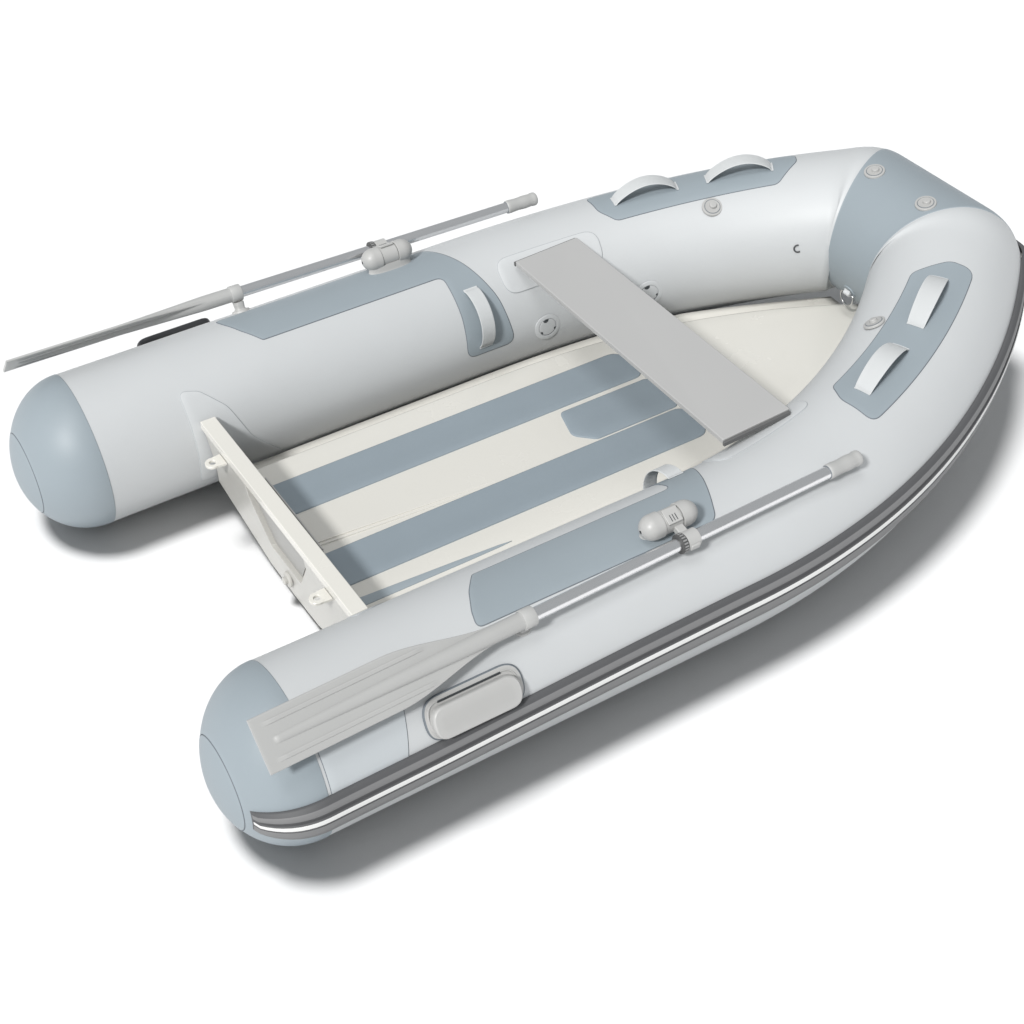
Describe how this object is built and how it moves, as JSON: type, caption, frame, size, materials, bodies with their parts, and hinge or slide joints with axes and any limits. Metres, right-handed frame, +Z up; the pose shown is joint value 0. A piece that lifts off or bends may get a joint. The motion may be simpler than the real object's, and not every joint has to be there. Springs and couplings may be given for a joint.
{
  "type": "inflatable dinghy",
  "caption": "Rigid-hulled inflatable tender with side tubes, deck, transom, lift-out seat, webbing handles and stowed oars in rolling rowlocks.",
  "frame": {"origin": "centre of the whole boat's plan, at the underside of the keel guard", "axes": "+Y towards the bow, +X to starboard, +Z up"},
  "size_m": [1.6234, 2.6164, 0.5789],
  "materials": {
    "tube_fabric": "matte coated fabric, pale grey",
    "panel_fabric": "matte coated fabric, blue grey",
    "badge_panel": "matte coated fabric, mid grey, blank",
    "hull_gelcoat": "satin gelcoat over laminate, off-white",
    "deck_pad": "fine non-slip texture, blue grey",
    "strake_rubber": "extruded rubber, dark grey with a pale stripe",
    "webbing": "woven webbing, off-white",
    "moulded_plastic": "satin moulded plastic, warm grey",
    "blade_plastic": "satin moulded plastic, light grey",
    "oar_alloy": "polished tube",
    "collar_rubber": "ribbed rubber, dark grey",
    "seat_board": "painted board, light grey",
    "ring_steel": "round steel wire"
  },
  "bodies": {
    "boat": {"blank_panel_port": "badge_panel", "blank_panel_starboard": "badge_panel", "bow_handle_port_aft": "webbing", "bow_handle_port_fore": "webbing", "bow_handle_starboard_aft": "webbing", "bow_handle_starboard_fore": "webbing", "bow_patch_port": "panel_fabric", "bow_patch_starboard": "panel_fabric", "bow_ring_base": "moulded_plastic", "deck": "hull_gelcoat", "deck_pad_centre": "deck_pad", "deck_pad_port": "deck_pad", "deck_pad_starboard": "deck_pad", "grab_handle_port": "moulded_plastic", "grab_handle_starboard": "moulded_plastic", "hull_shell": "hull_gelcoat", "keel_guard": "strake_rubber", "line_guide_bow_port": "moulded_plastic", "line_guide_bow_starboard": "moulded_plastic", "line_guide_port": "moulded_plastic", "line_guide_starboard": "moulded_plastic", "motor_plate": "moulded_plastic", "oar_rest_port": "moulded_plastic", "oar_rest_starboard": "moulded_plastic", "rowlock_pod_port": "moulded_plastic", "rowlock_pod_starboard": "moulded_plastic", "rub_strake": "strake_rubber", "seat_pad_port": "tube_fabric", "seat_pad_starboard": "tube_fabric", "side_handle_port": "webbing", "side_handle_starboard": "webbing", "stern_cone_port": "panel_fabric", "stern_cone_starboard": "panel_fabric", "transom_board": "hull_gelcoat", "transom_eye_port": "moulded_plastic", "transom_eye_starboard": "moulded_plastic", "transom_flap_port": "tube_fabric", "transom_flap_starboard": "tube_fabric", "tube_bow": "panel_fabric", "tube_port": "tube_fabric", "tube_starboard": "tube_fabric", "valve_body_aft": "moulded_plastic", "valve_body_fore": "moulded_plastic", "wear_patch_port": "panel_fabric", "wear_patch_starboard": "panel_fabric"},
    "rowlock_starboard": {"rowlock_ring_starboard": "moulded_plastic"},
    "collar_starboard": {"oar_collar_starboard": "collar_rubber"},
    "oar_starboard": {"oar_shaft_starboard": "oar_alloy", "oar_blade_starboard": "blade_plastic", "oar_grip_starboard": "blade_plastic"},
    "rowlock_port": {"rowlock_ring_port": "moulded_plastic"},
    "collar_port": {"oar_collar_port": "collar_rubber"},
    "oar_port": {"oar_shaft_port": "oar_alloy", "oar_blade_port": "blade_plastic", "oar_grip_port": "blade_plastic"},
    "seat": {"seat": "seat_board"},
    "bow_ring": {"bow_ring": "ring_steel"},
    "valve_cap_aft": {"valve_cap_aft": "moulded_plastic"},
    "valve_cap_fore": {"valve_cap_fore": "moulded_plastic"},
    "drain_plug": {"drain_plug": "moulded_plastic"}
  },
  "joints": [
    {"name": "rowlock_roll_starboard", "type": "hinge", "parent": "boat", "child": "rowlock_starboard", "pos_m": [0.6424, -0.2015, 0.4401], "axis": [0, -1, 0], "range_deg": [0, 100]},
    {"name": "oar_slide_starboard", "type": "slide", "parent": "rowlock_starboard", "child": "collar_starboard", "axis": [0.0283, -0.9996, 0], "range_m": [0, 0.25]},
    {"name": "oar_feather_starboard", "type": "hinge", "parent": "collar_starboard", "child": "oar_starboard", "pos_m": [0.7055, -0.1882, 0.4255], "axis": [-0.0283, 0.9996, 0], "range_deg": [-40, 15]},
    {"name": "rowlock_roll_port", "type": "hinge", "parent": "boat", "child": "rowlock_port", "pos_m": [-0.6424, -0.2015, 0.4401], "axis": [0, 1, 0], "range_deg": [0, 100]},
    {"name": "oar_slide_port", "type": "slide", "parent": "rowlock_port", "child": "collar_port", "axis": [-0.0283, -0.9996, 0], "range_m": [0, 0.25]},
    {"name": "oar_feather_port", "type": "hinge", "parent": "collar_port", "child": "oar_port", "pos_m": [-0.7055, -0.1882, 0.4255], "axis": [-0.0283, -0.9996, 0], "range_deg": [-40, 15]},
    {"name": "seat_lift", "type": "slide", "parent": "boat", "child": "seat", "axis": [0, 0, 1], "range_m": [0, 0.2]},
    {"name": "bow_ring_swing", "type": "hinge", "parent": "boat", "child": "bow_ring", "pos_m": [0, 0.89536, 0.27462], "axis": [1, 0, 0], "range_deg": [-100, 10]},
    {"name": "valve_cap_aft_turn", "type": "hinge", "parent": "boat", "child": "valve_cap_aft", "pos_m": [-0.37938, 0.1467, 0.22526], "axis": [0.9934, -0.1108, 0.0305], "continuous": true},
    {"name": "valve_cap_fore_turn", "type": "hinge", "parent": "boat", "child": "valve_cap_fore", "pos_m": [-0.31649, 0.44587, 0.26169], "axis": [0.9479, -0.315, 0.048], "continuous": true},
    {"name": "drain_plug_turn", "type": "hinge", "parent": "boat", "child": "drain_plug", "pos_m": [0, -0.85209, 0.0815], "axis": [0, 1, 0], "continuous": true}
  ]
}
